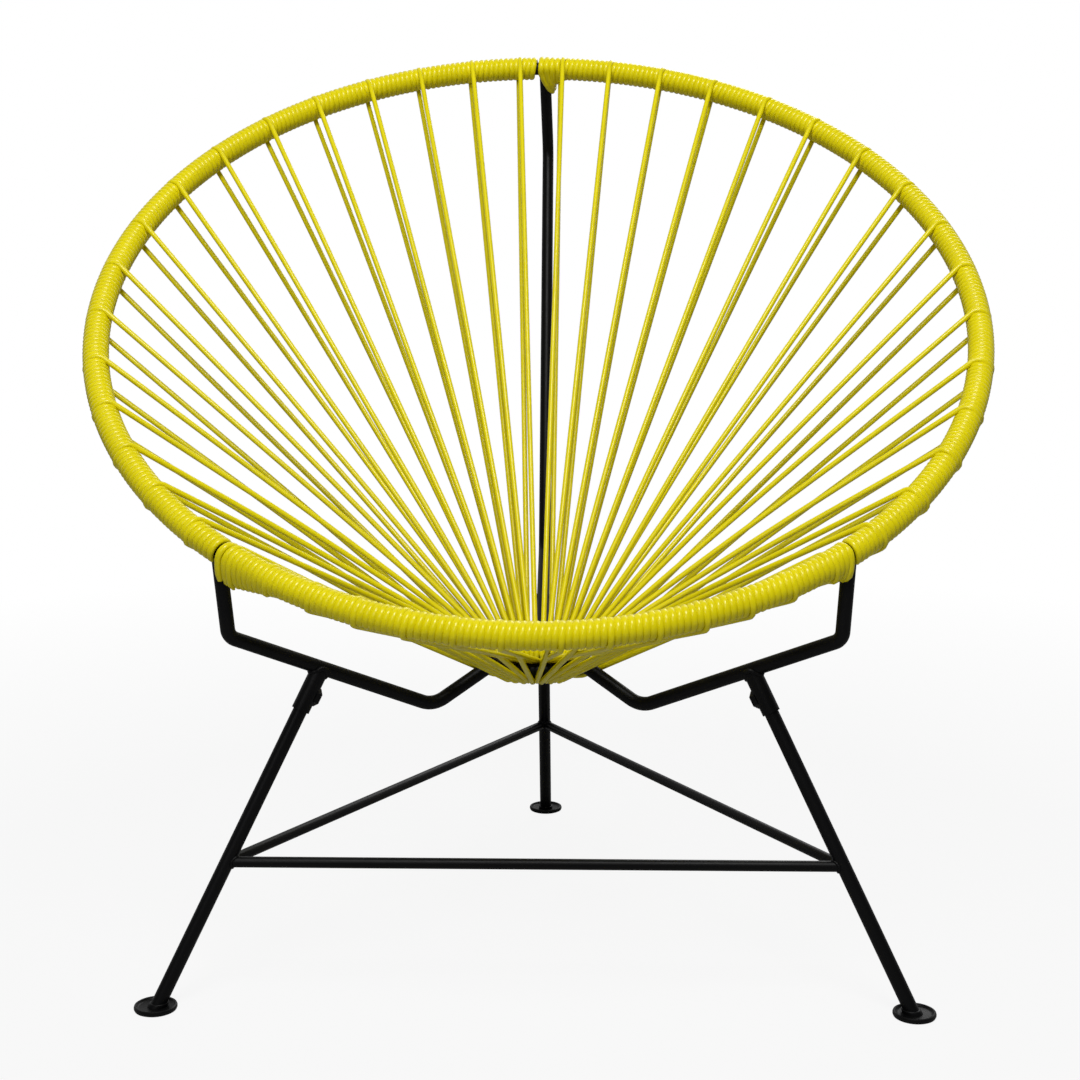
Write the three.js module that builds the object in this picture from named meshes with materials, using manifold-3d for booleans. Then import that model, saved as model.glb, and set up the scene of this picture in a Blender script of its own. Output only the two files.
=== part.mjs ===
// Acapulco lounge chair. A steel hoop, tipped back, stands on three bent arms that meet at a
// small ring under the seat. Three straight legs push into sockets under the arms and are
// tied by three stretchers. A round vinyl cord is wrapped all the way round the hoop and
// runs from it in pairs to the ring, which makes the bowl of the seat.
//
// Millimetres, +Z up. The seat faces -Y, and left is -X, as seen from in front. Bearings are
// measured about the upright axis through the ring, from the back (+Y) towards the right.

import * as THREE from 'three';
import { mergeVertices } from 'three/addons/utils/BufferGeometryUtils.js';
import Module from 'manifold-3d';

const library = await Module();
library.setup();

const degrees = Math.PI / 180;
const fullTurn = 2 * Math.PI;

// Gap kept between pieces that touch, and how far a cutting solid runs past what it cuts
const clearance = 0.3;
const overrun = 6;

// Hoop: centreline radius, bar, tilt from level, and the place of its centre
const hoopRadius = 420;
const hoopBarDiameter = 13.6;
const hoopTilt = 36.9 * degrees;
const hoopCentreHeight = 591.4;
const hoopCentreBack = 104.8;

// Cord and its wrapping
const cordDiameter = 5.2;
const wrapPitch = 5.4;
const wrapGroove = 0.9;
const wrapRibsPerSpoke = 2;
const wrapSides = 8;
const strandSides = 6;
const jointOpening = 3;

// Cord sections, clockwise from the back as seen from above: spokes in each section
const cordRuns = [
  { name: 'right', spokes: [4, 4, 4, 4] },
  { name: 'front', spokes: [3, 4, 3] },
  { name: 'left', spokes: [4, 4, 4, 4] },
];
const spokeCount = cordRuns.flatMap((run) => run.spokes).reduce((sum, count) => sum + count);

// How far the spokes lag at the hoop, and how far a strand's end runs on round the wrapping
const rimLag = 3.3 * degrees;
const strandTuck = 25 * degrees;
const loopSteps = 4;

// Strands of one section keep this share of their even spacing at the ring
const sectionDrawShare = 0.96;

// Ring under the seat
const ringRadius = 42;
const ringHeight = 265;
const ringSides = 10;
const ringSteps = 36;

// Rod of the ring, the arms and the legs, and the arms' bends
const rodDiameter = 12.7;
const rodSides = 12;
const roundSides = 12;
const bendRadius = 25;
const bendSteps = 4;
const armLowRadius = 108.8;
const armLowHeight = 235.8;
const armCornerRadius = 300.2;
const armCornerHeight = 319.4;
const armEndRise = 3.8;
const backBendRadius = 505;
const backBendHeight = 758;
const strandPassRadius = 62;

// Legs, their sockets, nuts and screws
const legTopRadius = 217;
const footRadius = 374.7;
const socketDiameter = 16;
const socketLength = 41;
const socketTop = 2;
const nutAcrossFlats = 13;
const nutThickness = 6.5;
const nutStandOut = 3;
const nutDrop = 24;
const nutChamfer = 0.7;
const screwDiameter = 8;
const screwSides = 8;
const screwRecessFlats = 4;
const screwRecessDepth = 2.4;
const screwSunk = 0.4;

// Stretchers
const stretcherDiameter = 9.5;
const stretcherHeight = 120.9;

// Feet
const footDiameter = 37;
const footThickness = 5;
const footRound = 2.2;
const footRimWidth = 2;
const footDish = 0.8;
const footFloor = 2.4;
const footCollarWall = 1.6;
const footCollarHeight = 7.5;

// Lashings round the tops of the arms
const lashingTurns = { top: 3, front_right: 2, front_left: 1 };
const lashingSteps = 12;
const lashingGap = 0.5;

// Finishes
const steelColour = '#17181a';
const steelRoughness = 0.42;
const zincColour = '#26272a';
const cordColour = '#d8cc06';
const cordRoughness = 0.3;

const rodRadius = rodDiameter / 2;
const cordRadius = cordDiameter / 2;
const hoopBarRadius = hoopBarDiameter / 2;
const wrapRadius = hoopBarRadius + clearance + cordDiameter;
const vector = (x, y, z) => new THREE.Vector3(x, y, z);

// A point at a bearing about the upright axis
const atBearing = (bearing, radius, height) => (
  vector(radius * Math.sin(bearing), radius * Math.cos(bearing), height)
);

// Solids for joining and cutting, and their geometry again
function solidOf(geometry) {
  const plain = geometry.clone();
  plain.deleteAttribute('normal');
  plain.deleteAttribute('uv');
  const merged = mergeVertices(plain);
  return new library.Manifold(new library.Mesh({
    numProp: 3,
    vertProperties: Float32Array.from(merged.attributes.position.array),
    triVerts: Uint32Array.from(merged.index.array),
  }));
}

function geometryOf(solid) {
  const mesh = solid.getMesh();
  const geometry = new THREE.BufferGeometry();
  geometry.setAttribute('position', new THREE.BufferAttribute(mesh.vertProperties, 3));
  geometry.setIndex(new THREE.BufferAttribute(mesh.triVerts, 1));
  geometry.computeVertexNormals();
  return geometry;
}

// A skin through rings of points, closed on itself or with flat ends
function loft(rings, closed) {
  const sides = rings[0].length;
  const faces = [];
  rings.forEach((ring, index) => {
    if (!closed && index === rings.length - 1) return;
    const here = index * sides;
    const next = ((index + 1) % rings.length) * sides;
    for (let side = 0; side < sides; side += 1) {
      const beside = (side + 1) % sides;
      faces.push(here + side, here + beside, next + beside);
      faces.push(here + side, next + beside, next + side);
    }
  });
  if (!closed) {
    const last = (rings.length - 1) * sides;
    for (let side = 1; side < sides - 1; side += 1) {
      faces.push(0, side + 1, side);
      faces.push(last, last + side, last + side + 1);
    }
  }
  const points = rings.flat().flatMap((point) => point.toArray());
  const geometry = new THREE.BufferGeometry();
  geometry.setAttribute('position', new THREE.Float32BufferAttribute(points, 3));
  geometry.setIndex(faces);
  return geometry;
}

// A path with one ring of the tube at each of its points, mitred between their stretches
class PointPath extends THREE.Curve {
  constructor(points) {
    super();
    this.points = points;
  }

  getUtoTmapping(share) {
    return share;
  }

  getPoint(share) {
    const place = share * (this.points.length - 1);
    const index = Math.min(Math.floor(place), this.points.length - 2);
    return this.points[index].clone().lerp(this.points[index + 1], place - index);
  }

  getTangent(share) {
    const index = Math.round(share * (this.points.length - 1));
    const here = this.points[index];
    const before = this.points[Math.max(index - 1, 0)];
    const after = this.points[Math.min(index + 1, this.points.length - 1)];
    const arriving = here.clone().sub(before).normalize();
    const leaving = after.clone().sub(here).normalize();
    return arriving.add(leaving).normalize();
  }
}

// A round tube along points
function tube(points, radius, sides) {
  const section = new THREE.Shape().absarc(0, 0, radius, 0, fullTurn);
  return new THREE.ExtrudeGeometry(section, {
    steps: points.length - 1,
    curveSegments: sides / 2,
    extrudePath: new PointPath(points),
  });
}

// A straight round or hexagonal bar between two points
function bar(start, end, radius, sides) {
  const geometry = new THREE.CylinderGeometry(radius, radius, start.distanceTo(end), sides);
  const along = end.clone().sub(start).normalize();
  geometry.applyQuaternion(new THREE.Quaternion().setFromUnitVectors(vector(0, 1, 0), along));
  const middle = start.clone().lerp(end, 1 / 2);
  return geometry.translate(middle.x, middle.y, middle.z);
}

// Corner points with each inner corner rounded to the bend radius
function rounded(corners) {
  const points = [corners[0]];
  for (let index = 1; index < corners.length - 1; index += 1) {
    const corner = corners[index];
    const back = corners[index - 1].clone().sub(corner).normalize();
    const on = corners[index + 1].clone().sub(corner).normalize();
    const bend = Math.PI - back.angleTo(on);
    const start = corner.clone().addScaledVector(back, bendRadius * Math.tan(bend / 2));
    const towards = back.clone().add(on).normalize();
    const centre = corner.clone().addScaledVector(towards, bendRadius / Math.cos(bend / 2));
    const spoke = start.clone().sub(centre);
    for (let step = 0; step <= bendSteps; step += 1) {
      const angle = bend * step / bendSteps;
      points.push(centre.clone()
        .addScaledVector(spoke, Math.cos(angle))
        .addScaledVector(back, -bendRadius * Math.sin(angle)));
    }
  }
  points.push(corners[corners.length - 1]);
  return points;
}

// The hoop's own directions and points, by the angle from its top towards the right
const hoopCentre = vector(0, hoopCentreBack, hoopCentreHeight);
const hoopUp = vector(0, Math.cos(hoopTilt), Math.sin(hoopTilt));
const hoopNormal = vector(0, -Math.sin(hoopTilt), Math.cos(hoopTilt));
const hoopOutward = (angle) => (
  vector(Math.sin(angle), 0, 0).addScaledVector(hoopUp, Math.cos(angle))
);
const hoopAlong = (angle) => (
  vector(Math.cos(angle), 0, 0).addScaledVector(hoopUp, -Math.sin(angle))
);
const hoopPoint = (angle) => (
  hoopCentre.clone().addScaledVector(hoopOutward(angle), hoopRadius)
);

function hoopSection(angle, radius) {
  const centre = hoopPoint(angle);
  const outward = hoopOutward(angle);
  return Array.from({ length: wrapSides }, (_, side) => {
    const around = fullTurn * side / wrapSides;
    return centre.clone()
      .addScaledVector(outward, radius * Math.cos(around))
      .addScaledVector(hoopNormal, radius * Math.sin(around));
  });
}

// The angle at which the hoop crosses the upright plane at a bearing
function hoopAngleAt(bearing) {
  const across = Math.cos(hoopTilt) * Math.sin(bearing);
  const reach = Math.hypot(Math.cos(bearing), across);
  const offset = Math.asin(hoopCentreBack * Math.sin(bearing) / (hoopRadius * reach));
  return offset + Math.atan2(across, Math.cos(bearing));
}

// The three arms stand a third of a turn apart, the first at the back
const armNames = ['top', 'front_right', 'front_left'];
const armBearings = [0, fullTurn / 3, -fullTurn / 3];
const jointAngles = armBearings.map(hoopAngleAt);

// Spokes at the ring and at the hoop
const spokeStep = fullTurn / spokeCount;
const ringBearing = (spoke) => (spoke + 1 / 2) * spokeStep;
const drawn = (spoke, middle) => middle + (spoke - middle) * sectionDrawShare;

// Under the ring the cords leave room on both sides of each arm
const armRoom = Math.asin((rodRadius + clearance + cordRadius) / ringRadius);
const third = fullTurn / 3;
function spreadBearing(spoke) {
  const bearing = ringBearing(spoke);
  const middle = (Math.floor(bearing / third) + 1 / 2) * third;
  const squeeze = (third / 2 - armRoom) / (third / 2 - spokeStep / 2);
  return middle + (bearing - middle) * squeeze;
}

// Each run of cord fills the hoop between two joints. A place is a count of spokes from the
// back, with a spoke at the middle of each step
const jointPlaces = [0];
cordRuns.forEach((run) => {
  jointPlaces.push(jointPlaces[jointPlaces.length - 1] + run.spokes.reduce((sum, n) => sum + n));
});
const runJoints = [jointAngles[0], jointAngles[1], jointAngles[2] + fullTurn, fullTurn];
const lagged = (place) => place * spokeStep - rimLag * Math.sin(2 * place * spokeStep);
function rimPlace(place) {
  const run = Math.max(0, jointPlaces.findIndex((end) => end > place) - 1);
  const first = jointPlaces[run];
  const share = (lagged(place) - lagged(first)) / (lagged(jointPlaces[run + 1]) - lagged(first));
  return runJoints[run] + (runJoints[run + 1] - runJoints[run]) * share;
}
const rimAngle = (spoke) => rimPlace(spoke + 1 / 2);
const edges = Array.from({ length: spokeCount }, (_, place) => rimPlace(place));
edges.push(fullTurn);

// The hoop's bar, and the space that it takes in the wrapping
function hoopBar(radius) {
  return loft(edges.slice(0, spokeCount).map((edge) => hoopSection(edge, radius)), true);
}
const flatShare = Math.cos(Math.PI / wrapSides);
const hoopSpace = solidOf(hoopBar(hoopBarRadius + clearance / flatShare));

// The ring, and the space that it takes in the arms
function ringAlong(radius) {
  return new THREE.TorusGeometry(ringRadius, radius, ringSides, ringSteps)
    .translate(0, 0, ringHeight);
}
const ringSpace = solidOf(ringAlong(rodRadius + clearance));

// The arms: from the ring down to the low bend, up to the corner, and on to the hoop
function armPoints(index) {
  const bearing = armBearings[index];
  const inner = ringRadius + rodRadius / 2;
  const corners = [
    atBearing(bearing, inner, ringHeight + armEndRise),
    atBearing(bearing, armLowRadius, armLowHeight),
    atBearing(bearing, armCornerRadius, armCornerHeight),
  ];
  if (index === 0) corners.push(atBearing(bearing, backBendRadius, backBendHeight));
  corners.push(hoopPoint(jointAngles[index]));
  return rounded(corners);
}

function arm(index) {
  return solidOf(tube(armPoints(index), rodRadius, rodSides))
    .subtract(hoopSpace)
    .subtract(ringSpace);
}
const armSpaces = armBearings.map((bearing, index) => (
  solidOf(tube(armPoints(index), rodRadius + clearance, rodSides))
));

// One pair of strands: down from over the wrapping, round the ring's inner side, and back
// under the ring to the wrapping's underside, one turn of cord further on
const loopRadius = (rodRadius + clearance + cordRadius) / Math.cos(Math.PI / loopSteps / 2);

function strandEnd(angle, from, side) {
  const centre = hoopPoint(angle);
  const leaving = centre.clone().sub(from).normalize();
  const away = hoopAlong(angle).cross(leaving).normalize();
  const onward = away.clone().cross(hoopAlong(angle)).negate();
  const seat = hoopBarRadius + clearance + cordRadius;
  return centre
    .addScaledVector(away, side * seat * Math.cos(strandTuck))
    .addScaledVector(onward, -seat * Math.sin(strandTuck));
}

function passPoint(from, to) {
  for (const bearing of armBearings) {
    const outward = atBearing(bearing, 1, 0);
    const sideways = atBearing(bearing + fullTurn / 4, 1, 0);
    const start = from.dot(sideways);
    const share = (strandPassRadius - from.dot(outward)) / (to.dot(outward) - from.dot(outward));
    const passing = start + (to.dot(sideways) - start) * share;
    const room = rodRadius + clearance + cordRadius;
    const crosses = start * to.dot(sideways) < 0 && to.dot(outward) > 0;
    if (crosses && from.dot(outward) > 0 && Math.abs(passing) < room) {
      return from.clone().lerp(to, share)
        .addScaledVector(sideways, Math.sign(start) * room - passing);
    }
  }
  return null;
}

function strandPoints(spoke, middle) {
  const inner = ringBearing(drawn(spoke, middle));
  const outer = spreadBearing(drawn(spoke, middle));
  const ringPoint = atBearing(outer, ringRadius, ringHeight);
  const rise = hoopPoint(rimAngle(spoke)).sub(ringPoint);
  const slope = Math.atan2(rise.z, Math.hypot(rise.x, rise.y));
  const loop = [];
  for (let step = 0; step <= loopSteps; step += 1) {
    const around = Math.PI / 2 + slope + Math.PI * step / loopSteps;
    const spread = Math.min(1, 1 + Math.cos(around));
    const bearing = inner + (outer - inner) * spread;
    const radius = ringRadius + loopRadius * Math.cos(around);
    loop.push(atBearing(bearing, radius, ringHeight + loopRadius * Math.sin(around)));
  }
  const backAngle = rimAngle(spoke) - wrapPitch / hoopRadius;
  const front = strandEnd(rimAngle(spoke), loop[0], 1);
  const back = strandEnd(backAngle, loop[loopSteps], -1);
  const pass = passPoint(loop[loopSteps], back);
  return pass ? [front, ...loop, pass, back] : [front, ...loop, back];
}

function strandPair(spoke, middle) {
  const points = strandPoints(spoke, middle);
  const path = new PointPath(points);
  const run = points[0].clone().sub(points[1]);
  const sideways = vector(-run.y, run.x, 0).normalize();
  const rings = points.map((point, index) => {
    const along = path.getTangent(index / (points.length - 1));
    const across = sideways.clone().addScaledVector(along, -sideways.dot(along)).normalize();
    const up = across.clone().cross(along);
    return Array.from({ length: strandSides }, (_, side) => {
      const around = fullTurn * side / strandSides;
      return point.clone()
        .addScaledVector(up, cordRadius * Math.cos(around))
        .addScaledVector(across, cordRadius * Math.sin(around));
    });
  });
  return loft(rings, false);
}

// A section of the wrapping, ribbed outside and bored for the hoop, with its strands
function cordSection(firstSpoke, count, startGap, endGap) {
  const cuts = edges.slice(firstSpoke, firstSpoke + count + 1);
  cuts[0] += startGap / hoopRadius;
  cuts[count] -= endGap / hoopRadius;
  const rings = [];
  for (let cell = 0; cell < count; cell += 1) {
    for (let half = 0; half < 2 * wrapRibsPerSpoke; half += 1) {
      const share = half / (2 * wrapRibsPerSpoke);
      const angle = cuts[cell] + (cuts[cell + 1] - cuts[cell]) * share;
      rings.push(hoopSection(angle, wrapRadius - (half % 2 ? 0 : wrapGroove)));
    }
  }
  rings.push(hoopSection(cuts[count], wrapRadius - wrapGroove));
  let section = solidOf(loft(rings, false));
  for (let spoke = firstSpoke; spoke < firstSpoke + count; spoke += 1) {
    const middle = firstSpoke + (count - 1) / 2;
    section = section.add(solidOf(strandPair(spoke, middle)));
  }
  section = section.subtract(hoopSpace);
  armSpaces.forEach((space) => {
    section = section.subtract(space);
  });
  return section;
}

// A lashing: turns of cord round the top of an arm, just under the wrapping
function lashingPoints(index) {
  const points = armPoints(index);
  const top = points[points.length - 1];
  const down = points[points.length - 2].clone().sub(top).normalize();
  const lean = Math.abs(down.dot(hoopAlong(jointAngles[index])));
  const upright = Math.sqrt(1 - lean * lean);
  const coil = (rodRadius + clearance + cordRadius) / Math.cos(Math.PI / lashingSteps);
  const drop = (wrapRadius + cordRadius + clearance) / upright
    + (coil + cordRadius) * lean / upright;
  const across = hoopNormal.clone().cross(down).normalize();
  const ahead = down.clone().cross(across).normalize();
  const steps = lashingTurns[armNames[index]] * lashingSteps;
  const pitch = cordDiameter + lashingGap;
  return Array.from({ length: steps + 1 }, (_, step) => {
    const angle = fullTurn * step / lashingSteps;
    return top.clone()
      .addScaledVector(down, drop + pitch * step / lashingSteps)
      .addScaledVector(across, coil * Math.cos(angle))
      .addScaledVector(ahead, coil * Math.sin(angle));
  });
}

// The least gap of a wound cord to itself, between points a turn or more apart
function leastSelfGap(points) {
  let least = Infinity;
  points.forEach((point, index) => {
    for (let other = index + lashingSteps - 1; other < points.length; other += 1) {
      least = Math.min(least, point.distanceTo(points[other]) - cordDiameter);
    }
  });
  return least;
}

// One leg with what belongs to it, in the upright plane through +X: the arm's bar comes
// first, because the socket and the leg are cut to it
const armCorner = vector(armCornerRadius, 0, armCornerHeight);
const armLow = vector(armLowRadius, 0, armLowHeight);
const barLean = Math.atan2(armCornerHeight - armLowHeight, armCornerRadius - armLowRadius);
const legTopHeight = armLowHeight + (legTopRadius - armLowRadius) * Math.tan(barLean);
const legTop = vector(legTopRadius, 0, legTopHeight);
const legFoot = vector(footRadius, 0, 0);
const legDown = legFoot.clone().sub(legTop).normalize();
const legInward = vector(legDown.z, 0, -legDown.x);
const alongLeg = (distance) => legTop.clone().addScaledVector(legDown, distance);
const legRod = (from, to, radius) => solidOf(bar(alongLeg(from), to, radius, rodSides));
const underFoot = legFoot.clone().addScaledVector(legDown, overrun);
const armBarSpace = solidOf(bar(armLow, armCorner, rodRadius + clearance, rodSides));

function slab(low, high) {
  const reach = 2 * footRadius;
  return solidOf(new THREE.BoxGeometry(reach, reach, high - low)
    .translate(footRadius, 0, (low + high) / 2));
}

function leg() {
  const barDirection = armCorner.clone().sub(armLow).normalize();
  const slant = Math.abs(barDirection.dot(legDown));
  const seat = rodRadius + clearance + rodRadius * slant;
  return legRod(seat, underFoot, rodRadius)
    .subtract(slab(-footRadius, footFloor + clearance));
}

function socket() {
  const end = alongLeg(socketLength);
  const bore = solidOf(bar(legTop, alongLeg(socketLength + overrun), rodRadius + clearance, rodSides));
  return solidOf(bar(alongLeg(socketTop), end, socketDiameter / 2, roundSides))
    .subtract(bore)
    .subtract(armBarSpace)
    .subtract(screwSpace());
}

const nutFace = socketDiameter / 2 + nutStandOut;
const nutAt = (distance) => alongLeg(nutDrop).addScaledVector(legInward, distance);

function screwSpace() {
  const radius = screwDiameter / 2 + clearance;
  return solidOf(bar(nutAt(0), nutAt(nutFace + overrun), radius, screwSides));
}

function nut() {
  const corner = nutAcrossFlats / Math.sqrt(3);
  const hexagon = solidOf(bar(nutAt(nutFace - nutThickness), nutAt(nutFace), corner, 6));
  const chamfer = new THREE.CylinderGeometry(corner - nutChamfer, corner + nutThickness
    - nutChamfer, nutThickness, roundSides);
  const outward = new THREE.Quaternion().setFromUnitVectors(vector(0, 1, 0), legInward);
  chamfer.applyQuaternion(outward);
  const middle = nutAt(nutFace - nutThickness / 2);
  chamfer.translate(middle.x, middle.y, middle.z);
  const sleeve = solidOf(bar(legTop, alongLeg(socketLength + overrun),
    socketDiameter / 2 + clearance, roundSides));
  return hexagon.intersect(solidOf(chamfer)).subtract(sleeve).subtract(screwSpace());
}

function setScrew() {
  const face = nutFace - screwSunk;
  const recess = solidOf(bar(nutAt(face - screwRecessDepth), nutAt(face + overrun),
    screwRecessFlats / Math.sqrt(3), 6));
  return solidOf(bar(nutAt(rodRadius + clearance), nutAt(face), screwDiameter / 2, screwSides))
    .subtract(recess);
}

// A foot: a round plate with a raised rim and a collar, and a seat for the leg
function foot() {
  const edge = footDiameter / 2;
  const middle = footThickness - footDish;
  const profile = [
    [0, 0],
    [edge - footRound, 0],
    [edge - footRound * (1 - Math.SQRT1_2), footRound * (1 - Math.SQRT1_2)],
    [edge, footRound],
    [edge, footThickness - footRound],
    [edge - footRound * (1 - Math.SQRT1_2), footThickness - footRound * (1 - Math.SQRT1_2)],
    [edge - footRound, footThickness],
    [edge - footRound - footRimWidth, middle],
    [0, middle],
  ].map(([radius, height]) => new THREE.Vector2(radius, height));
  const plate = new THREE.LatheGeometry(profile, roundSides)
    .rotateX(Math.PI / 2)
    .translate(footRadius, 0, 0);
  const collar = solidOf(bar(alongLeg(0), underFoot, rodRadius + clearance + footCollarWall,
    roundSides)).intersect(slab(footFloor, footCollarHeight));
  const seat = legRod(0, underFoot, rodRadius + clearance)
    .subtract(slab(-footRadius, footFloor));
  return solidOf(plate).add(collar).subtract(seat);
}

// A stretcher from this leg to the next, mitred against its neighbours and coped to the legs
function stretcher() {
  const share = (legTopHeight - stretcherHeight) / legTopHeight;
  const radius = legTopRadius + (footRadius - legTopRadius) * share;
  const start = vector(radius, 0, stretcherHeight);
  const end = start.clone().applyAxisAngle(vector(0, 0, 1), third);
  const rod = solidOf(bar(start, end, stretcherDiameter / 2, rodSides));
  const apex = clearance / 2 / Math.sin(third / 2);
  const sector = new THREE.Shape([0, third / 2, third].map((angle) => {
    const reach = 2 * radius;
    return new THREE.Vector2(reach * Math.cos(angle), reach * Math.sin(angle));
  }).concat(new THREE.Vector2(0, 0)));
  const wedge = new THREE.ExtrudeGeometry(sector, { depth: stretcherDiameter, bevelEnabled: false })
    .translate(apex * Math.cos(third / 2), apex * Math.sin(third / 2),
      stretcherHeight - stretcherDiameter / 2);
  const legSpace = legRod(0, underFoot, rodRadius + clearance);
  const nextLeg = solidOf(bar(legTop, underFoot, rodRadius + clearance, rodSides)
    .rotateZ(third));
  return rod.intersect(solidOf(wedge)).subtract(legSpace).subtract(nextLeg);
}

const chair = new THREE.Group();
chair.name = 'acapulco_chair';

const steel = { color: steelColour, roughness: steelRoughness, metalness: 0.2 };
const zinc = { color: zincColour, roughness: steelRoughness, metalness: 0.6 };
const vinyl = { color: cordColour, roughness: cordRoughness, metalness: 0 };

function place(group, name, solid, finish) {
  const geometry = solid.isBufferGeometry ? solid : geometryOf(solid);
  const mesh = new THREE.Mesh(geometry, new THREE.MeshStandardMaterial(finish));
  mesh.name = name;
  group.add(mesh);
}

// The welded frame
place(chair, 'hoop', hoopBar(hoopBarRadius), steel);
place(chair, 'hub_ring', ringAlong(rodRadius), steel);
place(chair, 'back_arm', arm(0), steel);
place(chair, 'front_right_arm', arm(1), steel);
place(chair, 'front_left_arm', arm(2), steel);

// The three legs, each in its own turned group, with the stretcher that goes on to the next
const legPieces = [
  ['leg_socket', socket(), steel],
  ['socket_nut', nut(), steel],
  ['set_screw', setScrew(), zinc],
  ['leg', leg(), steel],
  ['foot', foot(), steel],
];
const stretcherSolid = stretcher();
const legGroups = [
  { name: 'back', bearing: armBearings[0], stretcher: 'left_stretcher' },
  { name: 'front_right', bearing: armBearings[1], stretcher: 'right_stretcher' },
  { name: 'front_left', bearing: armBearings[2], stretcher: 'front_stretcher' },
];
legGroups.forEach((entry) => {
  const group = new THREE.Group();
  group.rotation.z = fullTurn / 4 - entry.bearing;
  chair.add(group);
  legPieces.forEach(([name, solid, finish]) => {
    place(group, `${entry.name}_${name}`, solid, finish);
  });
  place(group, entry.stretcher, stretcherSolid, steel);
});

// The cord: its sections round the hoop, and a lashing on each arm
let nextSpoke = 0;
cordRuns.forEach((run) => {
  run.spokes.forEach((count, index) => {
    const first = index === 0;
    const last = index === run.spokes.length - 1;
    const startGap = (first ? jointOpening : clearance) / 2;
    const endGap = (last ? jointOpening : clearance) / 2;
    const solid = cordSection(nextSpoke, count, startGap, endGap);
    place(chair, `cord_${run.name}_${index + 1}`, solid, vinyl);
    nextSpoke += count;
  });
});
armNames.forEach((name, index) => {
  const points = lashingPoints(index);
  place(chair, `cord_lashing_${name}`, tube(points, cordRadius, strandSides), vinyl);
  if (lashingTurns[name] > 1) {
    console.log(`${name} lashing, least gap to itself: ${leastSelfGap(points).toFixed(2)} mm`);
  }
});

// The origin is the middle of the chair's box, on the floor
const box = new THREE.Box3().setFromObject(chair, true);
const middle = box.getCenter(vector(0, 0, 0));
chair.position.set(-middle.x, -middle.y, -box.min.z);

export default chair;
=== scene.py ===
import math
import random

import bmesh
import bpy
from mathutils import Matrix, Vector


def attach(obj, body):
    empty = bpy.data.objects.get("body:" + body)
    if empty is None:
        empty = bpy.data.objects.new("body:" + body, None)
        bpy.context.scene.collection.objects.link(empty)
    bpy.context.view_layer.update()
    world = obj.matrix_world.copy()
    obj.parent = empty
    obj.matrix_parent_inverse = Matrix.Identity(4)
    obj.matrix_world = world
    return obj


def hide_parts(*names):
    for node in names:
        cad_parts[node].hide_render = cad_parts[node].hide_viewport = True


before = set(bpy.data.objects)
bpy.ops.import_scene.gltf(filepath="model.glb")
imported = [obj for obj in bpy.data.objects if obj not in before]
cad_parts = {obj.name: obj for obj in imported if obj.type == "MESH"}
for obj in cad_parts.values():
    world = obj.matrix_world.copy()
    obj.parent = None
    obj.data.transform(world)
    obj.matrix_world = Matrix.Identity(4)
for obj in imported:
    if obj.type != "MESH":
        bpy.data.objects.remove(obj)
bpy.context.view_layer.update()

# Ring under the seat: round steel bar rolled into a small circle and butt welded, then powder
# coated black with the rest of the frame. The arms are welded to its outside.
hub = Vector((0.0, -0.13206, 0.265))
ring_radius = 0.042
rod_radius = 0.00635
up = Vector((0.0, 0.0, 1.0))


def coat(name, dark, light, dull, shiny):
    finish = bpy.data.materials.new(name)
    finish.use_nodes = True
    nodes, links = finish.node_tree.nodes, finish.node_tree.links
    shader = nodes["Principled BSDF"]
    place = nodes.new("ShaderNodeTexCoord")
    cloud = nodes.new("ShaderNodeTexNoise")
    cloud.inputs["Scale"].default_value = 55.0
    cloud.inputs["Detail"].default_value = 4.0
    tint = nodes.new("ShaderNodeMix")
    tint.data_type = "RGBA"
    tint.inputs["A"].default_value = dark
    tint.inputs["B"].default_value = light
    gloss = nodes.new("ShaderNodeMapRange")
    gloss.inputs["To Min"].default_value = dull
    gloss.inputs["To Max"].default_value = shiny
    peel = nodes.new("ShaderNodeTexNoise")
    peel.inputs["Scale"].default_value = 640.0
    peel.inputs["Detail"].default_value = 2.0
    skin = nodes.new("ShaderNodeBump")
    skin.inputs["Strength"].default_value = 0.35
    skin.inputs["Distance"].default_value = 0.00012
    links.new(place.outputs["Object"], cloud.inputs["Vector"])
    links.new(place.outputs["Object"], peel.inputs["Vector"])
    links.new(cloud.outputs["Fac"], tint.inputs["Factor"])
    links.new(cloud.outputs["Fac"], gloss.inputs["Value"])
    links.new(peel.outputs["Fac"], skin.inputs["Height"])
    links.new(tint.outputs["Result"], shader.inputs["Base Color"])
    links.new(gloss.outputs["Result"], shader.inputs["Roughness"])
    links.new(skin.outputs["Normal"], shader.inputs["Normal"])
    return finish


black_coat = coat("black_powder_coat", (0.0016, 0.0016, 0.0018, 1), (0.003, 0.003, 0.0033, 1),
                  0.5, 0.34)
black_coat.node_tree.nodes["Principled BSDF"].inputs["Specular IOR Level"].default_value = 0.12


def fit_steel(bm, name, node, sharp=40):
    bmesh.ops.remove_doubles(bm, verts=bm.verts, dist=1e-6)
    bmesh.ops.recalc_face_normals(bm, faces=bm.faces)
    mesh = bpy.data.meshes.new(name)
    bm.to_mesh(mesh)
    bm.free()
    mesh.shade_smooth()
    mesh.set_sharp_from_angle(angle=math.radians(sharp))
    piece = bpy.data.objects.new(name, mesh)
    bpy.context.scene.collection.objects.link(piece)
    mesh.materials.append(black_coat)
    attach(piece, "root")
    if node:
        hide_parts(node)
    return piece


bar_sides = 24


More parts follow.
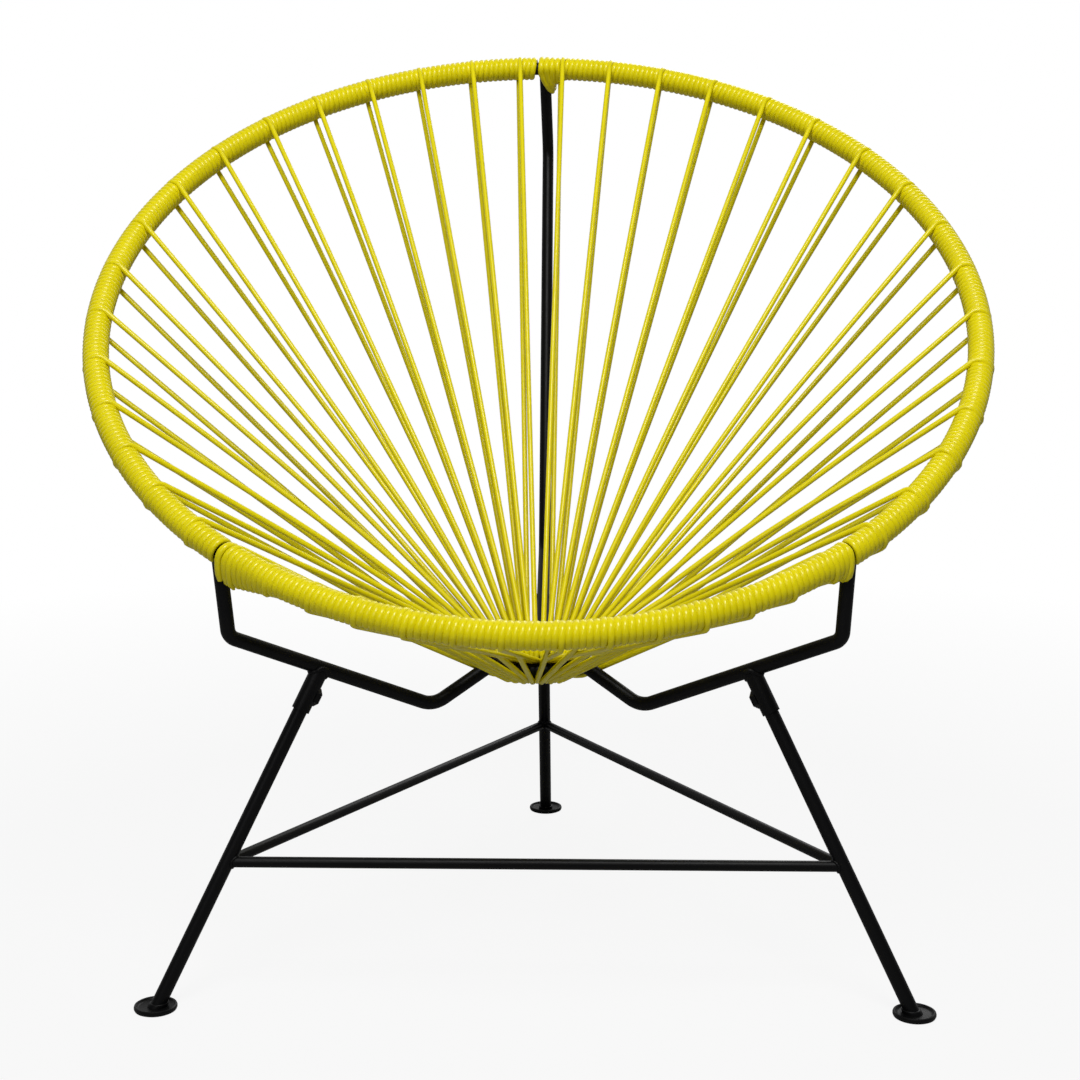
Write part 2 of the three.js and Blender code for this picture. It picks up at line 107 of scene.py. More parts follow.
def rolled_bar(centre, axis, radius, bar, steps):
    bm = bmesh.new()
    bmesh.ops.create_circle(bm, segments=bar_sides, radius=bar)
    across = axis.orthogonal().normalized()
    turn = Matrix((across, axis, across.cross(axis))).transposed().to_4x4()
    place = Matrix.Translation(centre + across * radius) @ turn
    bmesh.ops.transform(bm, matrix=place, verts=bm.verts)
    bmesh.ops.spin(bm, geom=bm.verts[:] + bm.edges[:], cent=centre, axis=axis, dvec=(0, 0, 0),
                   angle=2 * math.pi, steps=steps, use_merge=True, use_duplicate=False)
    return bm


fit_steel(rolled_bar(hub, up, ring_radius, rod_radius, 96), "seat_ring", "hub_ring")

# Hoop of the seat: 13.6 mm steel bar rolled to 840 mm and tipped back, set a little to the left
# and half a degree out of level. The cord hides nearly all of it, and it shows only in the thin
# gaps where one length of cord ends and the next begins.
hoop_radius = 0.42
hoop_bar = 0.0068
hoop_tilt = math.radians(36.9)
hoop_roll = math.radians(0.5)
hoop_centre = Vector((-0.0025, 0.1048 + hub.y, 0.5914))
hoop_up = Vector((0.0, math.cos(hoop_tilt), math.sin(hoop_tilt)))
hoop_side = Matrix.Rotation(hoop_roll, 3, hoop_up) @ Vector((1.0, 0.0, 0.0))
hoop_normal = hoop_side.cross(hoop_up)
fit_steel(rolled_bar(hoop_centre, hoop_normal, hoop_radius, hoop_bar, 240), "seat_hoop", "hoop")


def hoop_outward(angle):
    return hoop_side * math.sin(angle) + hoop_up * math.cos(angle)


def hoop_point(angle):
    return hoop_centre + hoop_outward(angle) * hoop_radius


def hoop_angle_at(bearing):
    across = math.cos(hoop_tilt) * math.sin(bearing)
    reach = math.hypot(math.cos(bearing), across)
    shift = math.asin((hoop_centre.y - hub.y) * math.sin(bearing) / (hoop_radius * reach))
    return shift + math.atan2(across, math.cos(bearing))


# Three arms: 12.7 mm bar cold bent at a low elbow and a knee, the one at the back with a third
# bend near its top. They are welded to the ring below and to the hoop above, where the two in
# front stand a few millimetres off their places.
third = 2 * math.pi / 3
arm_bearings = {"back": 0.0, "front_right": third, "front_left": -third}
joint_angles = {name: hoop_angle_at(bearing) for name, bearing in arm_bearings.items()}
arm_root = (ring_radius + 0.0032, hub.z + 0.0038)
elbow = (0.1088, 0.2358)
knee = (0.3002, 0.3194)
back_bend = (0.505, 0.758)
wide_bend = 0.025
tight_bend = 0.0115
arm_end_gap = 0.004
arm_nudge = {"back": 0.0, "front_right": 0.0012, "front_left": -0.0058}
arm_headings = {}


def at_bearing(bearing, radius, height):
    return Vector((radius * math.sin(bearing), hub.y + radius * math.cos(bearing), height))


def bent_bar(corners, bar, bends):
    bm = bmesh.new()
    heading = (corners[1] - corners[0]).normalized()
    bmesh.ops.create_circle(bm, segments=bar_sides, radius=bar)
    turn = heading.to_track_quat("Z", "Y").to_matrix().to_4x4()
    bmesh.ops.transform(bm, matrix=Matrix.Translation(corners[0]) @ turn, verts=bm.verts)
    rim, reached = bm.edges[:], corners[0]
    for corner, beyond, bend in zip(corners[1:], corners[2:] + [None], bends + [0.0]):
        length = (corner - reached).length
        if beyond:
            onward = (beyond - corner).normalized()
            angle = heading.angle(onward)
            length -= bend * math.tan(angle / 2)
        grown = bmesh.ops.extrude_edge_only(bm, edges=rim)["geom"]
        ends = [v for v in grown if isinstance(v, bmesh.types.BMVert)]
        bmesh.ops.translate(bm, vec=heading * length, verts=ends)
        rim = [e for e in grown if isinstance(e, bmesh.types.BMEdge)
               and e.verts[0] in ends and e.verts[1] in ends]
        if beyond:
            start = reached + heading * length
            axis = heading.cross(onward).normalized()
            centre = start + axis.cross(heading) * bend
            spun = bmesh.ops.spin(bm, geom=ends + rim, cent=centre, axis=axis, dvec=(0, 0, 0),
                                  angle=angle, steps=10, use_duplicate=False)["geom_last"]
            rim = [e for e in spun if isinstance(e, bmesh.types.BMEdge)]
            reached = centre + Matrix.Rotation(angle, 3, axis) @ (start - centre)
            heading = onward
    bmesh.ops.holes_fill(bm, edges=[e for e in bm.edges if e.is_boundary])
    return bm


for name, bearing in arm_bearings.items():
    corners = [at_bearing(bearing, *arm_root), at_bearing(bearing, *elbow),
               at_bearing(bearing, *knee)]
    bends = [wide_bend, tight_bend]
    if name == "back":
        corners.append(at_bearing(bearing, *back_bend))
        bends = [wide_bend] * 3
    end = hoop_point(joint_angles[name] + arm_nudge[name] / hoop_radius)
    corners.append(end + (corners[-1] - end).normalized() * arm_end_gap)
    arm_headings[name] = (corners[-2] - end).normalized()
    fit_steel(bent_bar(corners, rod_radius, bends), f"{name}_bent_arm", f"{name}_arm")


# Welds: small beads run round each joint before coating, with the ripple of the torch still in
# them under the paint.
def run_tube(points, radius, sides, closed=False, swell=None):
    curve = bpy.data.curves.new("run", "CURVE")
    curve.dimensions = "3D"
    curve.bevel_depth = radius
    curve.bevel_resolution = sides // 2 - 2
    curve.use_fill_caps = not closed
    spline = curve.splines.new("POLY")
    spline.points.add(len(points) - 1)
    spline.use_cyclic_u = closed
    for index, point in enumerate(points):
        spline.points[index].co = (*point, 1.0)
        spline.points[index].radius = swell[index] if swell else 1.0
    holder = bpy.data.objects.new("run", curve)
    mesh = bpy.data.meshes.new_from_object(holder)
    bpy.data.objects.remove(holder)
    bpy.data.curves.remove(curve)
    return mesh


seam_steps = 48


def seam_points(start, heading, bar, other, other_heading, other_bar):
    side = heading.orthogonal().normalized()
    lift = heading.cross(side)
    points = []
    for step in range(seam_steps):
        around = 2 * math.pi * step / seam_steps
        point = start + (side * math.cos(around) + lift * math.sin(around)) * bar
        gap = point - other
        flat = heading - other_heading * heading.dot(other_heading)
        offset = gap - other_heading * gap.dot(other_heading)
        a, b = flat.dot(flat), 2 * flat.dot(offset)
        c = offset.dot(offset) - other_bar ** 2
        root = math.sqrt(max(0.0, b * b - 4 * a * c))
        points.append(point + heading * (-b + root) / (2 * a))
    return points


ripple = random.Random(11)
ripple_length = 3.7
ring_bead = 0.0019


def weld_bead(name, points, size):
    swell = [1 + 0.1 * math.sin(step * 2 * math.pi / ripple_length) + ripple.uniform(-0.06, 0.06)
             for step in range(len(points))]
    mesh = run_tube(points, size, 10, True, swell)
    bm = bmesh.new()
    bm.from_mesh(mesh)
    bpy.data.meshes.remove(mesh)
    return fit_steel(bm, name, None, 80)


for name, bearing in arm_bearings.items():
    inner = at_bearing(bearing, *arm_root)
    heading = (at_bearing(bearing, *elbow) - inner).normalized()
    crosswise = at_bearing(bearing + math.pi / 2, 1, 0) - at_bearing(0, 0, 0)
    crosswise.z = 0
    near = at_bearing(bearing, ring_radius, hub.z)
    weld_bead(f"{name}_ring_weld",
              seam_points(near, heading, rod_radius, near, crosswise.normalized(), rod_radius),
              ring_bead)

# Leg sockets: short 16 mm tubes coped over the slope of each arm and welded on. A hexagon nut
# is welded to the inside of each, and a black set screw in it clamps the leg.
leg_top_radius = 0.217
foot_radius = 0.3747
socket_radius = 0.008
socket_top = 0.002
socket_mouth = 0.041
socket_wall = 0.00135
socket_bead = 0.0022
clamp_drop = 0.0252
nut_radius = 0.0084
nut_base = 0.0045
nut_face = 0.0096
nut_rim = 0.0021
screw_radius = 0.004
screw_base = 0.006
screw_face = 0.0092
key_half_width = 0.002
key_depth = 0.0022
slope = math.atan2(knee[1] - elbow[1], knee[0] - elbow[0])
leg_top_height = elbow[1] + (leg_top_radius - elbow[0]) * math.tan(slope)

screw_finish = coat("black_screw_steel", (0.006, 0.006, 0.007, 1), (0.012, 0.012, 0.013, 1),
                    0.38, 0.28)
screw_finish.node_tree.nodes["Principled BSDF"].inputs["Metallic"].default_value = 0.5


def straight_bar(bm, start, end, radius, sides):
    made = bmesh.ops.create_circle(bm, segments=sides, radius=radius)["verts"]
    heading = (end - start).normalized()
    turn = heading.to_track_quat("Z", "Y").to_matrix().to_4x4()
    bmesh.ops.transform(bm, matrix=Matrix.Translation(start) @ turn, verts=made)
    rim = list({e for v in made for e in v.link_edges})
    grown = bmesh.ops.extrude_edge_only(bm, edges=rim)["geom"]
    ends = [v for v in grown if isinstance(v, bmesh.types.BMVert)]
    bmesh.ops.translate(bm, vec=end - start, verts=ends)
    return made, ends


def close_end(bm, ends):
    return bmesh.ops.contextual_create(bm, geom=[e for e in bm.edges if e.verts[0] in ends
                                                 and e.verts[1] in ends])["faces"][0]


def round_rim(bm, verts, size, segments):
    kept = set(verts)
    edges = [e for e in bm.edges if e.verts[0] in kept and e.verts[1] in kept]
    bmesh.ops.bevel(bm, geom=edges, offset=size, segments=segments, profile=0.5,
                    affect="EDGES", material=-1)


legs = {}
for name, bearing in arm_bearings.items():
    top = at_bearing(bearing, leg_top_radius, leg_top_height)
    toe = at_bearing(bearing, foot_radius, 0.0)
    down = (toe - top).normalized()
    outward = (at_bearing(bearing, 1, 0) - at_bearing(bearing, 0, 0)).normalized()
    inward = (outward * down.z - up * down.dot(outward)).normalized()
    if inward.dot(outward) > 0:
        inward.negate()
    legs[name] = (top, toe, down)

    bm = bmesh.new()
    first, last = straight_bar(bm, top + down * socket_top, top + down * socket_mouth,
                               socket_radius, 32)
    close_end(bm, first)
    mouth = close_end(bm, last)
    bmesh.ops.inset_region(bm, faces=[mouth], thickness=socket_wall)
    depth = bmesh.ops.extrude_discrete_faces(bm, faces=[mouth])["faces"][0]
    bmesh.ops.translate(bm, vec=-down * 0.004, verts=depth.verts)
    round_rim(bm, last, 0.0005, 2)
    fit_steel(bm, f"{name}_socket_tube", f"{name}_leg_socket", 30)

    rise = (at_bearing(bearing, *knee) - at_bearing(bearing, *elbow)).normalized()
    weld_bead(f"{name}_socket_weld", seam_points(top, down, 0.0072, top, rise, 0.0066),
              socket_bead)

    clamp = top + down * clamp_drop
    bm = bmesh.new()
    first, last = straight_bar(bm, clamp + inward * nut_base, clamp + inward * nut_face,
                               nut_radius, 6)
    close_end(bm, first)
    face = close_end(bm, last)
    bmesh.ops.inset_region(bm, faces=[face], thickness=nut_rim)
    hole = bmesh.ops.extrude_discrete_faces(bm, faces=[face])["faces"][0]
    bmesh.ops.translate(bm, vec=-inward * 0.0012, verts=hole.verts)
    round_rim(bm, last, 0.0004, 2)
    fit_steel(bm, f"{name}_clamp_nut", f"{name}_socket_nut", 30)

    bm = bmesh.new()
    first, last = straight_bar(bm, clamp + inward * screw_base, clamp + inward * screw_face,
                               screw_radius, 24)
    close_end(bm, first)
    close_end(bm, last)
    round_rim(bm, last, 0.0005, 1)
    face = max(bm.faces, key=lambda f: f.calc_center_median().dot(inward)
               - (0 if len(f.verts) > 8 else 1))
    bmesh.ops.inset_region(bm, faces=[face], thickness=0.0009)
    centre = face.calc_center_median()
    side = down.cross(inward).normalized()
    for vert in face.verts:
        arm = vert.co - centre
        turn = math.atan2(arm.dot(side), arm.dot(down)) % (math.pi / 3) - math.pi / 6
        vert.co = centre + arm.normalized() * key_half_width / math.cos(turn)
    key = bmesh.ops.extrude_discrete_faces(bm, faces=[face])["faces"][0]
    bmesh.ops.translate(bm, vec=-inward * key_depth, verts=key.verts)
    screw = fit_steel(bm, f"{name}_grub_screw", f"{name}_set_screw", 30)
    screw.data.materials[0] = screw_finish

# Legs: straight 12.7 mm bar pushed up into the sockets and clamped there, splayed outwards and
# welded into the feet.
leg_in_socket = 0.0072
leg_over_floor = 0.0036
for name, (top, toe, down) in legs.items():
    bm = bmesh.new()
    first, last = straight_bar(bm, top + down * leg_in_socket, toe - down * leg_over_floor,
                               rod_radius, bar_sides)
    close_end(bm, first)
    close_end(bm, last)
    fit_steel(bm, f"{name}_straight_leg", f"{name}_leg")

# Feet: round pressed plates with a turned-over edge, a slightly dished top and a short collar
# that the leg is welded into.
foot_outline = [(0.0, 0.0), (0.0163, 0.0), (0.0178, 0.0007), (0.0185, 0.0022), (0.0185, 0.0034),
                (0.0181, 0.0045), (0.0172, 0.005), (0.0163, 0.0047), (0.0157, 0.0038),
                (0.0149, 0.0031), (0.0138, 0.0028), (0.0, 0.0028)]
collar_radius = rod_radius + 0.0013
collar_top = 0.0062
collar_foot = 0.0024
for name, (top, toe, down) in legs.items():
    bm = bmesh.new()
    spine = [bm.verts.new(toe + Vector((radius, 0.0, height)))
             for radius, height in foot_outline]
    rib = [bm.edges.new(pair) for pair in zip(spine, spine[1:])]
    bmesh.ops.spin(bm, geom=spine + rib, cent=toe, axis=up, dvec=(0, 0, 0), angle=2 * math.pi,
                   steps=56, use_merge=True, use_duplicate=False)
    bmesh.ops.remove_doubles(bm, verts=bm.verts, dist=1e-6)
    collar = bmesh.new()
    straight_bar(collar, toe - down * 0.02, toe + down * 0.01, collar_radius, 28)
    for height, facing in ((collar_top, up), (collar_foot, -up)):
        bmesh.ops.bisect_plane(collar, geom=collar.verts[:] + collar.edges[:] + collar.faces[:],
                               plane_co=(0, 0, height), plane_no=facing, clear_outer=True)
        rim = [e for e in collar.edges if all(abs(v.co.z - height) < 1e-6 for v in e.verts)]
        bmesh.ops.contextual_create(collar, geom=rim)
    round_rim(collar, [v for v in collar.verts if abs(v.co.z - collar_top) < 1e-6], 0.0008, 3)
    spare = bpy.data.meshes.new("spare")
    collar.to_mesh(spare)
    collar.free()
    bm.from_mesh(spare)
    bpy.data.meshes.remove(spare)
    fit_steel(bm, f"{name}_foot_plate", f"{name}_foot", 30)

# Stretchers: three straight lengths of 9.5 mm bar between the legs, all at one height, welded
# at both ends with a small bead.
stretcher_height = 0.1209
stretcher_radius = 0.00475
stretcher_start = 0.004
stretcher_bead = 0.0013
ends = {}
for name, (top, toe, down) in legs.items():
    ends[name] = top + down * ((top.z - stretcher_height) / -down.z)
for name, start, end in (("left", "back", "front_left"), ("right", "front_right", "back"),
                         ("front", "front_left", "front_right")):
    bm = bmesh.new()
    run = (ends[end] - ends[start]).normalized()
    first, last = straight_bar(bm, ends[start] + run * stretcher_start,
                               ends[end] - run * stretcher_start, stretcher_radius, 20)
    close_end(bm, first)
    close_end(bm, last)
    fit_steel(bm, f"{name}_stretcher_bar", f"{name}_stretcher")
    for leg, heading in ((start, run), (end, -run)):
        seam = seam_points(ends[leg], heading, 0.0048, ends[leg], legs[leg][2], 0.0064)
        weld_bead(f"{name}_stretcher_weld_{leg}", seam, stretcher_bead)

# Cord: one length of 5.2 mm glossy vinyl for each space between two arms, wound tight round the
# hoop with its turns pressed together. At each spoke it runs down over the ring and back up to
# the underside of the winding; in front it goes under the ring first and comes back over it.
cord_radius = 0.0026
cord_gap = 0.0003
seat = hoop_bar + cord_gap + cord_radius
pitch = 0.0054
turn_steps = 20
cord_sides = 12
spoke_count = 42
spoke_step = 2 * math.pi / spoke_count
ring_seat = rod_radius + 0.0001 + cord_radius
arm_room = math.asin((rod_radius + cord_gap + cord_radius) / ring_radius)
pressed = 0.3
over_lift = {"right": 0.0024, "front": 0.0010, "left": 0.0024}
under_lift = {"right": 0.0028, "left": 0.0018}
stagger = 0.0009
over_side, under_side = 2.2, 5.2

vinyl = bpy.data.materials.new("yellow_vinyl")
vinyl.use_nodes = True
nodes, links = vinyl.node_tree.nodes, vinyl.node_tree.links
shader = nodes["Principled BSDF"]
shader.inputs["Specular IOR Level"].default_value = 0.26
place = nodes.new("ShaderNodeTexCoord")
cloud = nodes.new("ShaderNodeTexNoise")
cloud.inputs["Scale"].default_value = 26.0
cloud.inputs["Detail"].default_value = 5.0
tint = nodes.new("ShaderNodeMix")
tint.data_type = "RGBA"
tint.inputs["A"].default_value = (0.65, 0.56, 0.0015, 1)
tint.inputs["B"].default_value = (0.79, 0.685, 0.002, 1)
gloss = nodes.new("ShaderNodeMapRange")
gloss.inputs["To Min"].default_value = 0.18
gloss.inputs["To Max"].default_value = 0.28
draw = nodes.new("ShaderNodeTexNoise")
draw.inputs["Scale"].default_value = 120.0
draw.inputs["Detail"].default_value = 1.0
skin = nodes.new("ShaderNodeBump")
skin.inputs["Strength"].default_value = 0.04
skin.inputs["Distance"].default_value = 0.0001
links.new(place.outputs["Object"], cloud.inputs["Vector"])
links.new(place.outputs["Object"], draw.inputs["Vector"])
links.new(cloud.outputs["Fac"], tint.inputs["Factor"])
links.new(cloud.outputs["Fac"], gloss.inputs["Value"])
links.new(draw.outputs["Fac"], skin.inputs["Height"])
links.new(tint.outputs["Result"], shader.inputs["Base Color"])
links.new(gloss.outputs["Result"], shader.inputs["Roughness"])
links.new(skin.outputs["Normal"], shader.inputs["Normal"])


def fit_cord(path, name, nodes_replaced):
    mesh = run_tube([point for point, _, _ in path], cord_radius, cord_sides)
    caps = len(mesh.vertices) - len(path) * cord_sides
    for index, (point, widen, along) in enumerate(path[1:-1], 1):
        if widen:
            start = caps + index * cord_sides
            for vert in mesh.vertices[start:start + cord_sides]:
                vert.co += along * (vert.co - point).dot(along) * widen
    bm = bmesh.new()
    bm.from_mesh(mesh)
    bmesh.ops.remove_doubles(bm, verts=bm.verts, dist=1e-6)
    bmesh.ops.recalc_face_normals(bm, faces=bm.faces)
    bm.to_mesh(mesh)
    bm.free()
    mesh.name = name
    mesh.shade_smooth()
    mesh.set_sharp_from_angle(angle=math.radians(60))
    mesh.materials.append(vinyl)
    piece = bpy.data.objects.new(name, mesh)
    bpy.context.scene.collection.objects.link(piece)
    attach(piece, "root")
    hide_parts(*nodes_replaced)


def soft_step(share):
    share = max(0.0, min(1.0, share))
    return share * share * (3 - 2 * share)


def hoop_along(angle):
    return hoop_side * math.cos(angle) - hoop_up * math.sin(angle)


def spread_bearing(bearing):
    middle = (math.floor(bearing / third) + 0.5) * third
    return middle + (bearing - middle) * (third / 2 - arm_room) / (third / 2 - spoke_step / 2)


def past(turned, start, width):
    return soft_step((abs(turned) - math.radians(start)) / math.radians(width))


# Behind, the strands crowd together towards the back arm where they come up from under the
# ring, and at the sides they come up further back than they went down.
def gathered_bearing(bearing):
    bearing = spread_bearing(bearing)
    turned = (bearing + math.pi) % (2 * math.pi) - math.pi
    crowding = 0.6 * (1 - past(turned, 60, 40))
    least = math.copysign(min(abs(turned), arm_room), turned)
    drawn_back = past(turned, 85, 20) * math.radians(28 - 17 * past(turned, 140, 25))
    return bearing - (turned - least) * crowding - math.copysign(drawn_back, turned)


def round_hoop(angle, around, size):
    flat = hoop_outward(angle) * math.cos(around) + hoop_normal * math.sin(around)
    return hoop_point(angle) + flat * size


def leaving(angle, target, sense, size):
    around = over_side if sense > 0 else under_side
    for _ in range(6):
        run = (target - round_hoop(angle, around, size)) * sense
        around = math.atan2(-run.dot(hoop_outward(angle)), run.dot(hoop_normal))
    return around % (2 * math.pi)


loop_steps = 24
hook_width = math.radians(6)
hook_lean = 0.12


def ring_loop(inner, middle, size, hooked):
    outer, back = spread_bearing(inner), gathered_bearing(inner)
    rise = hoop_point(middle) - at_bearing(outer, ring_radius, hub.z)
    lean = math.atan2(rise.z, math.hypot(rise.x, rise.y))
    loop = []
    for step in range(loop_steps + 1):
        share = step / loop_steps
        around = math.pi / 2 + lean + math.pi * share
        if hooked:
            around = 2 * math.pi + 2 * lean - around
            bearing = inner + hook_width * (0.5 - share)
            bearing -= (inner - math.pi) * hook_lean * (1 - share)
        else:
            side = outer if share < 0.5 else back
            bearing = inner + (side - inner) * min(1.0, 1 + math.cos(around))
        loop.append(at_bearing(bearing, ring_radius + size * math.cos(around),
                               hub.z + size * math.sin(around)))
    return loop


arm_passing = 0.062


def beside_arm(start, end):
    for bearing in arm_bearings.values():
        outward = Vector((math.sin(bearing), math.cos(bearing), 0.0))
        sideways = Vector((math.cos(bearing), -math.sin(bearing), 0.0))
        a, b = start - hub, end - hub
        if a.dot(sideways) * b.dot(sideways) < 0 and min(a.dot(outward), b.dot(outward)) > 0:
            share = (arm_passing - a.dot(outward)) / (b.dot(outward) - a.dot(outward))
            passing = a.dot(sideways) + (b.dot(sideways) - a.dot(sideways)) * share
            room = rod_radius + cord_gap + cord_radius
            if abs(passing) < room:
                shift = math.copysign(room, a.dot(sideways)) - passing
                return [start.lerp(end, share) + sideways * shift]
    return []


# Where a length of cord begins or ends over an arm, its turns can't pass under the hoop, so
# they are led down across the arm and round behind it. Each crossing has its arm, the turn to
# add to that arm's angle, the way the cord lies from it, the side of the hoop that the arm
# meets, where the drop begins, how deep it is and how far along the hoop it reaches.
arm_crossings = {
    "right": [("back", 0.0, 1, math.radians(270), 0.0062, 0.019, 0.024)],
    "front": [("front_left", 2 * math.pi, -1, math.radians(300), -0.0087, 0.017, 0.07),
              ("front_right", 0.0, 1, math.radians(300), -0.0038, 0.0125, 0.032)],
    "left": [],
}
arm_clearance = 0.0098
arm_ease = 0.012
hump_half = math.radians(105)
squared = 1.5


def wound(run, angle, around):
    for arm, turned, way, arm_side, start, depth, reach in arm_crossings[run]:
        joint = joint_angles[arm] + turned + arm_nudge[arm] / hoop_radius
        inside = (angle - joint) * way * hoop_radius
        if inside < reach:
            off = (around - arm_side + math.pi) % (2 * math.pi) - math.pi
            hump = 0.5 + 0.5 * math.cos(math.pi * min(1.0, abs(off) / hump_half))
            near = min(1.0, max(0.0, (arm_clearance + arm_ease / 3 - inside) / arm_ease))
            drop = depth * (1 - (inside + start) / (reach + start)) * hump
            shift = max(0.0, arm_clearance - inside) * hump * way
            place = angle + shift / hoop_radius
            down = (hoop_outward(place) * math.cos(arm_side)
                    + hoop_normal * math.sin(arm_side))
            ahead = (hoop_normal * math.cos(arm_side)
                     - hoop_outward(place) * math.sin(arm_side))
            wide = math.sin(off)
            wide += (max(-1.0, min(1.0, squared * wide)) - wide) * near
            return (hoop_point(place) + down * seat * math.cos(off) + ahead * seat * wide
                    + arm_headings[arm] * drop)
    return round_hoop(angle, around, seat)


# Places of the strands on the hoop, in degrees from its top towards the right: where each goes
# down over the winding, and where it comes back up under it.
right_over = (
    2.74, 10.03, 18.04, 26.29, 35.28, 43.94, 53.68, 63.36, 73.04,
    82.64, 92.36, 102.32, 111.71, 120.34, 128.70, 136.80)
right_under = (
    2.35, 9.81, 17.75, 26.00, 35.00, 43.75, 53.40, 63.10, 72.75,
    82.30, 92.05, 102.00, 111.40, 120.01, 128.37, 136.47)
front_over = (
    144.3, 150.1, 155.5, 160.9, 166.2, 171.6, 176.9, 183.3, 188.5,
    194.0, 199.7, 205.3, 210.9, 216.1)
left_over = (
    223.00, 231.00, 239.16, 247.89, 256.89, 266.48, 276.24, 285.80, 295.56,
    305.17, 314.97, 323.62, 332.49, 340.62, 348.80, 356.18)
left_under = (
    222.67, 230.67, 238.83, 247.56, 256.60, 266.20, 276.00, 285.53, 295.24,
    304.84, 314.61, 323.33, 332.18, 340.37, 348.55, 355.95)
front_step = math.radians(6)
under_offset = 0.33
strands = {"right": [], "front": [], "left": []}
for spoke in range(16):
    strands["right"].append((right_over[spoke], right_under[spoke], (spoke + 0.5) * spoke_step))
    strands["left"].append((left_over[spoke], left_under[spoke], (spoke + 26.5) * spoke_step))
for spoke, place in enumerate(front_over):
    strands["front"].append((place, place - under_offset,
                             math.pi + (spoke - 6.5) * front_step))
left_joint = (joint_angles["front_left"] + 2 * math.pi) * hoop_radius
right_joint = joint_angles["front_right"] * hoop_radius
full_turn = 2 * math.pi * hoop_radius
cord_runs = {
    "right": (right_joint + 0.0008, -0.0062,
              ["cord_right_1", "cord_right_2", "cord_right_3", "cord_right_4",
               "cord_lashing_top"]),
    "front": (left_joint - 0.0145, right_joint + 0.005,
              ["cord_front_1", "cord_front_2", "cord_front_3", "cord_lashing_front_right",
               "cord_lashing_front_left"]),
    "left": (full_turn - 0.0106, left_joint - 0.0105,
             ["cord_left_1", "cord_left_2", "cord_left_3", "cord_left_4"])}

# The turns next to a strand lean over the place that it leaves bare on the inner side of the
# hoop, and the strand rises off the winding in its last quarter of a turn.
inner_side = 3.45
closing = pitch / 2 / hoop_radius
closing_turns = 4
rise_turns = 0.22
fall_turns = 0.25
free_height = 0.002
lead_out = (0.003, 0.006, 0.009, 0.013)
longest_step = 0.0052
kink = 0.0006
for name, (begin, finish, sections) in cord_runs.items():
    angle, around = begin / hoop_radius, math.radians(330)
    path, left_lift = [], 0.0
    for strand in strands[name][::-1] + [None]:
        if strand is None:
            place, goal, lift = finish / hoop_radius, math.radians(250), 0.0
        else:
            place, back, bearing = math.radians(strand[0]), math.radians(strand[1]), strand[2]
            size = ring_seat + strands[name].index(strand) % 2 * stagger
            loop = ring_loop(bearing, (place + back) / 2, size, name == "front")
            lift = over_lift[name]
            goal = leaving(place, loop[0], 1, seat + lift)
        part = ((goal - around) % (2 * math.pi)) / (2 * math.pi)
        turns = max(0, round((angle - place) * hoop_radius / pitch - part)) + part
        steps = max(1, round(turns * turn_steps))
        for step in range(steps + 1):
            share = step / steps
            here = angle + (place - angle) * share
            turned = around + turns * 2 * math.pi * share
            facing_ring = soft_step((math.cos(turned - inner_side) - 0.35) / 0.65)
            if strand:
                here -= closing * max(0, 1 - (1 - share) * turns / closing_turns) * facing_ring
            if left_lift:
                here += closing * max(0, 1 - share * turns / closing_turns) * facing_ring
            rising = soft_step(1 - (1 - share) * turns / rise_turns) * lift
            falling = soft_step(1 - share * turns / fall_turns) * left_lift
            point = wound(name, here, turned)
            outward = round_hoop(here, turned, 1.0) - hoop_point(here)
            proud = max(rising, falling)
            widen = pressed * (1 - min(1.0, proud / free_height))
            path.append((point + outward * proud, widen, hoop_along(here)))
        if strand is None:
            break
        first = path[-1][0]
        path += [(first.lerp(loop[0], reach / (loop[0] - first).length), 0.0, up)
                 for reach in lead_out]
        left_lift = under_lift["right" if place < math.pi else "left"]
        angle, around = back, leaving(back, loop[-1], -1, seat + left_lift)
        last = round_hoop(angle, around, seat + left_lift)
        path += [(point, 0.0, up) for point in loop + beside_arm(loop[-1], last)]
        path += [(last.lerp(path[-1][0], reach / (path[-1][0] - last).length), 0.0, up)
                 for reach in lead_out[::-1]]
    for _ in range(2):
        points = [point for point, _, _ in path]
        for index in range(1, len(path) - 1):
            a, b, c = points[index - 1:index + 2]
            if max((b - a).length, (c - b).length) < longest_step:
                bent = (a + c) / 2 - b
                if bent.length > kink:
                    path[index] = (b + bent * 0.35, *path[index][1:])
    length = sum((b[0] - a[0]).length for a, b in zip(path, path[1:]))
    print(name, "cord", round(length, 2), "m", len(path), "points")
    fit_cord(path, f"{name}_cord", sections)

# Studio: a wide paper floor that runs off into a white background, with one soft lamp above,
# one behind and one in front. The floor keeps the chair's shadow near its feet.
bm = bmesh.new()
bmesh.ops.create_grid(bm, x_segments=8, y_segments=8, size=9.0)
mesh = bpy.data.meshes.new("floor")
bm.to_mesh(mesh)
bm.free()
floor = bpy.data.objects.new("floor", mesh)
bpy.context.scene.collection.objects.link(floor)
paper = bpy.data.materials.new("floor_paper")
paper.use_nodes = True
nodes, links = paper.node_tree.nodes, paper.node_tree.links
nodes.clear()
matte = nodes.new("ShaderNodeBsdfDiffuse")
matte.inputs["Color"].default_value = (0.4, 0.4, 0.4, 1)
glow = nodes.new("ShaderNodeEmission")
path_info = nodes.new("ShaderNodeLightPath")
place = nodes.new("ShaderNodeTexCoord")
far = nodes.new("ShaderNodeVectorMath")
far.operation = "LENGTH"
fade = nodes.new("ShaderNodeMapRange")
fade.inputs["From Min"].default_value = 0.6
fade.inputs["From Max"].default_value = 1.8
fade.inputs["To Min"].default_value = 0.9
fade.inputs["To Max"].default_value = 1.0
seen = nodes.new("ShaderNodeMath")
seen.operation = "MULTIPLY"
